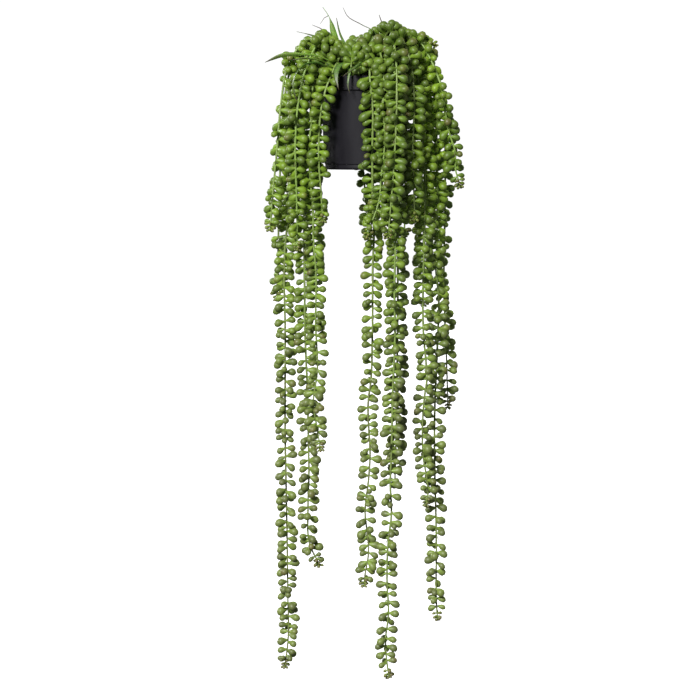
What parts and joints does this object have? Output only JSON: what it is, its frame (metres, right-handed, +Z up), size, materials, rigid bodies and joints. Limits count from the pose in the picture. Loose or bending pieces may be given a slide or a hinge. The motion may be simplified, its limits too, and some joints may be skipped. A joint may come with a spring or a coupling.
{
  "type": "potted string of pearls",
  "caption": "Round black nursery pot of soil hung by its rim, with long trailing stems of pear-shaped pearl leaves and a few narrow grass blades.",
  "frame": {"origin": "centre of the flat underside of the pot's rim collar, the plane where a hanger's ring carries the pot", "axes": "+Z up, the way the pot hangs; -Y to the front, the side that the picture shows; +X to the viewer's right"},
  "size_m": [0.1973, 0.1574, 0.6648],
  "materials": {
    "pot": "satin",
    "soil": "matte",
    "leaf": "satin",
    "grass": "satin"
  },
  "bodies": {
    "root": {"pot": "pot", "soil": "soil", "stem_left_1": "leaf", "stem_left_2": "leaf", "stem_left_3": "leaf", "stem_left_4": "leaf", "stem_left_5": "leaf", "stem_left_6": "leaf", "stem_left_7": "leaf", "stem_right_1": "leaf", "stem_right_2": "leaf", "stem_right_3": "leaf", "stem_right_4": "leaf", "stem_right_5": "leaf", "stem_right_6": "leaf", "stem_right_7": "leaf", "stem_right_8": "leaf", "stem_right_9": "leaf", "stem_right_10": "leaf", "stem_right_11": "leaf", "stem_back_1": "leaf", "stem_back_2": "leaf", "stem_back_3": "leaf", "stem_back_4": "leaf", "stem_back_5": "leaf", "stem_back_6": "leaf", "sprig_1": "leaf", "sprig_2": "leaf", "sprig_3": "leaf", "sprig_4": "leaf", "sprig_5": "leaf", "sprig_6": "leaf", "sprig_7": "leaf", "sprig_8": "leaf", "sprig_9": "leaf", "sprig_10": "leaf", "grass_blade_1": "grass", "grass_blade_2": "grass", "grass_blade_3": "grass", "grass_blade_4": "grass", "grass_blade_5": "grass", "grass_blade_6": "grass", "grass_blade_7": "grass", "grass_blade_8": "grass", "grass_blade_9": "grass", "grass_blade_10": "grass", "grass_blade_11": "grass", "grass_blade_12": "grass"}
  },
  "joints": []
}
